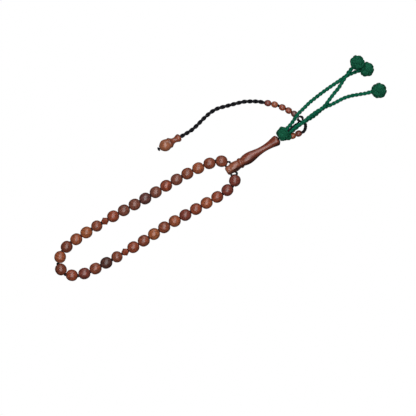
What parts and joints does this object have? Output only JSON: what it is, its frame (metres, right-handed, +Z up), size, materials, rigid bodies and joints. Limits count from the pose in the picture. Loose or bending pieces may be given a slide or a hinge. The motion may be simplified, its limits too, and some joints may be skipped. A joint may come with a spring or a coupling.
{
  "type": "misbaha prayer beads",
  "caption": "String of turned wooden prayer beads on a thread loop with marker beads, a turned leader bead, a green knotted tassel and a black counter cord with a turned finial.",
  "frame": {"origin": "on the surface the string lies on, under the middle of its bounding box", "axes": "+X along the string, from the far end of the bead loop towards the tassel; +Z up, away from the surface; +Y to the side the counter cord lies on"},
  "size_m": [0.2298, 0.0509, 0.0124],
  "materials": {
    "wood_orange": "polished dark hardwood with a visible grain",
    "wood_tan": "polished dark hardwood with a visible grain",
    "wood_brown": "polished dark hardwood with a visible grain",
    "wood_red": "polished dark hardwood with a visible grain",
    "wood_dark": "polished dark hardwood with a visible grain",
    "wood_maroon": "polished dark hardwood with a visible grain",
    "wood_plum": "polished dark hardwood with a visible grain",
    "wood_grey": "polished dark hardwood with a visible grain",
    "green_cord": "twisted and knotted green cord, matt",
    "black_cord": "twisted black cord, matt"
  },
  "bodies": {
    "imame": {"imame": "wood_red", "imame_core_thread": "black_cord"},
    "tassel": {"tassel_knot": "green_cord", "tassel_cord_1": "green_cord", "tassel_cord_2": "green_cord", "tassel_cord_3_inner": "green_cord", "end_knot_1": "green_cord", "end_knot_2": "green_cord", "counter_cord_tail": "black_cord"},
    "cord_3_tip": {"tassel_cord_3_outer": "green_cord", "end_knot_3": "green_cord"},
    "counter_strand": {"counter_cord_beaded": "black_cord", "counter_cord_strand": "black_cord"},
    "finial": {"finial": "wood_tan", "stopper_knot": "black_cord"},
    "loop_near": {"thread_upper": "black_cord", "thread_lower": "black_cord"},
    "loop_far": {"thread_far": "black_cord"},
    "bead_01": {"bead_01": "wood_brown"},
    "bead_02": {"bead_02": "wood_brown"},
    "bead_03": {"bead_03": "wood_orange"},
    "bead_04": {"bead_04": "wood_brown"},
    "bead_05": {"bead_05": "wood_maroon"},
    "bead_06": {"bead_06": "wood_red"},
    "bead_07": {"bead_07": "wood_maroon"},
    "bead_08": {"bead_08": "wood_plum"},
    "bead_09": {"bead_09": "wood_maroon"},
    "bead_10": {"bead_10": "wood_brown"},
    "bead_11": {"bead_11": "wood_red"},
    "bead_12": {"bead_12": "wood_brown"},
    "bead_13": {"bead_13": "wood_tan"},
    "bead_14": {"bead_14": "wood_orange"},
    "bead_15": {"bead_15": "wood_dark"},
    "bead_16": {"bead_16": "wood_orange"},
    "bead_17": {"bead_17": "wood_dark"},
    "bead_18": {"bead_18": "wood_red"},
    "bead_19": {"bead_19": "wood_maroon"},
    "bead_20": {"bead_20": "wood_brown"},
    "bead_21": {"bead_21": "wood_grey"},
    "bead_22": {"bead_22": "wood_brown"},
    "bead_23": {"bead_23": "wood_red"},
    "bead_24": {"bead_24": "wood_brown"},
    "bead_25": {"bead_25": "wood_tan"},
    "bead_26": {"bead_26": "wood_red"},
    "bead_27": {"bead_27": "wood_orange"},
    "bead_28": {"bead_28": "wood_maroon"},
    "bead_29": {"bead_29": "wood_red"},
    "bead_30": {"bead_30": "wood_orange"},
    "bead_31": {"bead_31": "wood_red"},
    "bead_32": {"bead_32": "wood_maroon"},
    "bead_33": {"bead_33": "wood_maroon"},
    "marker_bead_1": {"marker_bead_1": "wood_red"},
    "marker_bead_2": {"marker_bead_2": "wood_red"},
    "counter_bead_1": {"counter_bead_1": "wood_orange"},
    "counter_bead_2": {"counter_bead_2": "wood_maroon"},
    "counter_bead_3": {"counter_bead_3": "wood_plum"},
    "counter_bead_4": {"counter_bead_4": "wood_red"},
    "counter_bead_5": {"counter_bead_5": "wood_red"},
    "counter_bead_6": {"counter_bead_6": "wood_orange"},
    "counter_bead_7": {"counter_bead_7": "wood_maroon"}
  },
  "joints": [
    {"name": "counter_swing", "type": "hinge", "parent": "tassel", "child": "counter_strand", "pos_m": [0.06045, -0.00695, 0.00085], "axis": [0, 0, 1], "range_deg": [-25, 6]},
    {"name": "cord_3_swing", "type": "hinge", "parent": "tassel", "child": "cord_3_tip", "pos_m": [0.0775, -0.00869, 0.0012], "axis": [0, 0, 1], "range_deg": [-20, 8]},
    {"name": "finial_swing", "type": "hinge", "parent": "counter_strand", "child": "finial", "pos_m": [-0.00745, 0.02116, 0.0023], "axis": [0, 0, 1], "range_deg": [-20, 20]},
    {"name": "loop_fold", "type": "hinge", "parent": "loop_near", "child": "loop_far", "pos_m": [-0.07506, -0.01035, 0.00352], "axis": [-0.0383, 0.9993, 0], "range_deg": [0, 30]},
    {"name": "loop_swing", "type": "hinge", "parent": "imame", "child": "loop_near", "pos_m": [0.00845, -0.01145, 0.00352], "axis": [0, 0, 1], "range_deg": [-15, 15]},
    {"name": "tassel_swing", "type": "hinge", "parent": "imame", "child": "tassel", "pos_m": [0.04655, -0.0108, 0.00442], "axis": [0, 0, 1], "range_deg": [-12, 8]},
    {"name": "turn_bead_01", "type": "hinge", "parent": "loop_near", "child": "bead_01", "pos_m": [0.00602, -0.00441, 0.00352], "axis": [-0.7963, 0.6049, 0], "continuous": true},
    {"name": "turn_bead_02", "type": "hinge", "parent": "loop_near", "child": "bead_02", "pos_m": [-0.0009, -0.0018, 0.00352], "axis": [-0.9689, 0.2475, 0], "continuous": true},
    {"name": "turn_bead_03", "type": "hinge", "parent": "loop_near", "child": "bead_03", "pos_m": [-0.00824, -0.00076, 0.00352], "axis": [-0.9952, 0.0979, 0], "continuous": true},
    {"name": "turn_bead_04", "type": "hinge", "parent": "loop_near", "child": "bead_04", "pos_m": [-0.01565, -0.00021, 0.00352], "axis": [-0.9985, 0.0552, 0], "continuous": true},
    {"name": "turn_bead_05", "type": "hinge", "parent": "loop_near", "child": "bead_05", "pos_m": [-0.02308, 0.0001, 0.00352], "axis": [-0.9996, 0.0268, 0], "continuous": true},
    {"name": "turn_bead_06", "type": "hinge", "parent": "loop_near", "child": "bead_06", "pos_m": [-0.03051, 0.00012, 0.00352], "axis": [-0.9999, -0.0118, 0], "continuous": true},
    {"name": "turn_bead_07", "type": "hinge", "parent": "loop_near", "child": "bead_07", "pos_m": [-0.03794, 0.00001, 0.00352], "axis": [-0.9999, -0.0133, 0], "continuous": true},
    {"name": "turn_bead_08", "type": "hinge", "parent": "loop_near", "child": "bead_08", "pos_m": [-0.04537, 0, 0.00352], "axis": [-0.9999, 0.0158, 0], "continuous": true},
    {"name": "turn_bead_09", "type": "hinge", "parent": "loop_near", "child": "bead_09", "pos_m": [-0.0528, 0.00023, 0.00352], "axis": [-0.9991, 0.0421, 0], "continuous": true},
    {"name": "turn_bead_10", "type": "hinge", "parent": "loop_near", "child": "bead_10", "pos_m": [-0.06022, 0.00056, 0.00352], "axis": [-0.9991, 0.0428, 0], "continuous": true},
    {"name": "turn_bead_11", "type": "hinge", "parent": "loop_near", "child": "bead_11", "pos_m": [-0.06765, 0.0008, 0.00352], "axis": [-0.9999, 0.0164, 0], "continuous": true},
    {"name": "turn_bead_12", "type": "hinge", "parent": "loop_far", "child": "bead_12", "pos_m": [-0.07921, 0.00085, 0.00352], "axis": [-1, -0.0063, 0], "continuous": true},
    {"name": "turn_bead_13", "type": "hinge", "parent": "loop_far", "child": "bead_13", "pos_m": [-0.08664, 0.00075, 0.00352], "axis": [-0.9997, -0.0247, 0], "continuous": true},
    {"name": "turn_bead_14", "type": "hinge", "parent": "loop_far", "child": "bead_14", "pos_m": [-0.09406, 0.0004, 0.00352], "axis": [-0.9965, -0.0834, 0], "continuous": true},
    {"name": "turn_bead_15", "type": "hinge", "parent": "loop_far", "child": "bead_15", "pos_m": [-0.10141, -0.00055, 0.00352], "axis": [-0.9567, -0.291, 0], "continuous": true},
    {"name": "turn_bead_16", "type": "hinge", "parent": "loop_far", "child": "bead_16", "pos_m": [-0.10801, -0.00382, 0.00352], "axis": [-0.726, -0.6877, 0], "continuous": true},
    {"name": "turn_bead_17", "type": "hinge", "parent": "loop_far", "child": "bead_17", "pos_m": [-0.1115, -0.0105, 0.00352], "axis": [0.0521, -0.9986, 0], "continuous": true},
    {"name": "turn_bead_18", "type": "hinge", "parent": "loop_far", "child": "bead_18", "pos_m": [-0.10761, -0.01699, 0.00352], "axis": [0.7521, -0.659, 0], "continuous": true},
    {"name": "turn_bead_19", "type": "hinge", "parent": "loop_far", "child": "bead_19", "pos_m": [-0.10055, -0.01999, 0.00352], "axis": [0.9662, -0.2578, 0], "continuous": true},
    {"name": "turn_bead_20", "type": "hinge", "parent": "loop_far", "child": "bead_20", "pos_m": [-0.0932, -0.0209, 0.00352], "axis": [0.9967, -0.0807, 0], "continuous": true},
    {"name": "turn_bead_21", "type": "hinge", "parent": "loop_far", "child": "bead_21", "pos_m": [-0.08577, -0.0213, 0.00352], "axis": [0.9993, -0.0362, 0], "continuous": true},
    {"name": "turn_bead_22", "type": "hinge", "parent": "loop_far", "child": "bead_22", "pos_m": [-0.07835, -0.0215, 0.00352], "axis": [0.9998, -0.0202, 0], "continuous": true},
    {"name": "turn_bead_23", "type": "hinge", "parent": "loop_near", "child": "bead_23", "pos_m": [-0.06679, -0.02159, 0.00352], "axis": [1, 0.0036, 0], "continuous": true},
    {"name": "turn_bead_24", "type": "hinge", "parent": "loop_near", "child": "bead_24", "pos_m": [-0.05935, -0.02151, 0.00352], "axis": [0.9998, 0.0194, 0], "continuous": true},
    {"name": "turn_bead_25", "type": "hinge", "parent": "loop_near", "child": "bead_25", "pos_m": [-0.05193, -0.0212, 0.00352], "axis": [0.9986, 0.0533, 0], "continuous": true},
    {"name": "turn_bead_26", "type": "hinge", "parent": "loop_near", "child": "bead_26", "pos_m": [-0.04451, -0.0209, 0.00352], "axis": [0.9999, 0.0145, 0], "continuous": true},
    {"name": "turn_bead_27", "type": "hinge", "parent": "loop_near", "child": "bead_27", "pos_m": [-0.03708, -0.02096, 0.00352], "axis": [0.9997, -0.0226, 0], "continuous": true},
    {"name": "turn_bead_28", "type": "hinge", "parent": "loop_near", "child": "bead_28", "pos_m": [-0.02965, -0.02115, 0.00352], "axis": [0.9998, -0.021, 0], "continuous": true},
    {"name": "turn_bead_29", "type": "hinge", "parent": "loop_near", "child": "bead_29", "pos_m": [-0.02222, -0.02135, 0.00352], "axis": [0.9996, -0.0296, 0], "continuous": true},
    {"name": "turn_bead_30", "type": "hinge", "parent": "loop_near", "child": "bead_30", "pos_m": [-0.01479, -0.0215, 0.00352], "axis": [1, -0.0061, 0], "continuous": true},
    {"name": "turn_bead_31", "type": "hinge", "parent": "loop_near", "child": "bead_31", "pos_m": [-0.00736, -0.02169, 0.00352], "axis": [0.9998, -0.02, 0], "continuous": true},
    {"name": "turn_bead_32", "type": "hinge", "parent": "loop_near", "child": "bead_32", "pos_m": [0.00005, -0.02131, 0.00352], "axis": [0.9821, 0.1882, 0], "continuous": true},
    {"name": "turn_bead_33", "type": "hinge", "parent": "loop_near", "child": "bead_33", "pos_m": [0.00692, -0.01867, 0.00352], "axis": [0.7547, 0.656, 0], "continuous": true},
    {"name": "turn_marker_bead_1", "type": "hinge", "parent": "loop_near", "child": "marker_bead_1", "pos_m": [-0.07343, 0.00086, 0.00352], "axis": [-1, 0.0042, 0], "continuous": true},
    {"name": "turn_marker_bead_2", "type": "hinge", "parent": "loop_near", "child": "marker_bead_2", "pos_m": [-0.07257, -0.02158, 0.00352], "axis": [1, -0.0072, 0], "continuous": true},
    {"name": "turn_counter_bead_1", "type": "hinge", "parent": "tassel", "child": "counter_bead_1", "pos_m": [0.05105, -0.01345, 0.00197], "axis": [0.9731, -0.2305, 0], "continuous": true},
    {"name": "turn_counter_bead_2", "type": "hinge", "parent": "tassel", "child": "counter_bead_2", "pos_m": [0.0549, -0.0141, 0.00197], "axis": [0.9814, -0.1919, 0], "continuous": true},
    {"name": "turn_counter_bead_3", "type": "hinge", "parent": "counter_strand", "child": "counter_bead_3", "pos_m": [0.05885, -0.0026, 0.00197], "axis": [-0.4359, 0.9, 0], "continuous": true},
    {"name": "turn_counter_bead_4", "type": "hinge", "parent": "counter_strand", "child": "counter_bead_4", "pos_m": [0.0569, 0.001, 0.00197], "axis": [-0.5083, 0.8612, 0], "continuous": true},
    {"name": "turn_counter_bead_5", "type": "hinge", "parent": "counter_strand", "child": "counter_bead_5", "pos_m": [0.0546, 0.0046, 0.00197], "axis": [-0.5843, 0.8115, 0], "continuous": true},
    {"name": "turn_counter_bead_6", "type": "hinge", "parent": "counter_strand", "child": "counter_bead_6", "pos_m": [0.0515, 0.0085, 0.00197], "axis": [-0.6765, 0.7365, 0], "continuous": true},
    {"name": "turn_counter_bead_7", "type": "hinge", "parent": "counter_strand", "child": "counter_bead_7", "pos_m": [0.0484, 0.01135, 0.00197], "axis": [-0.7478, 0.6639, 0], "continuous": true}
  ]
}
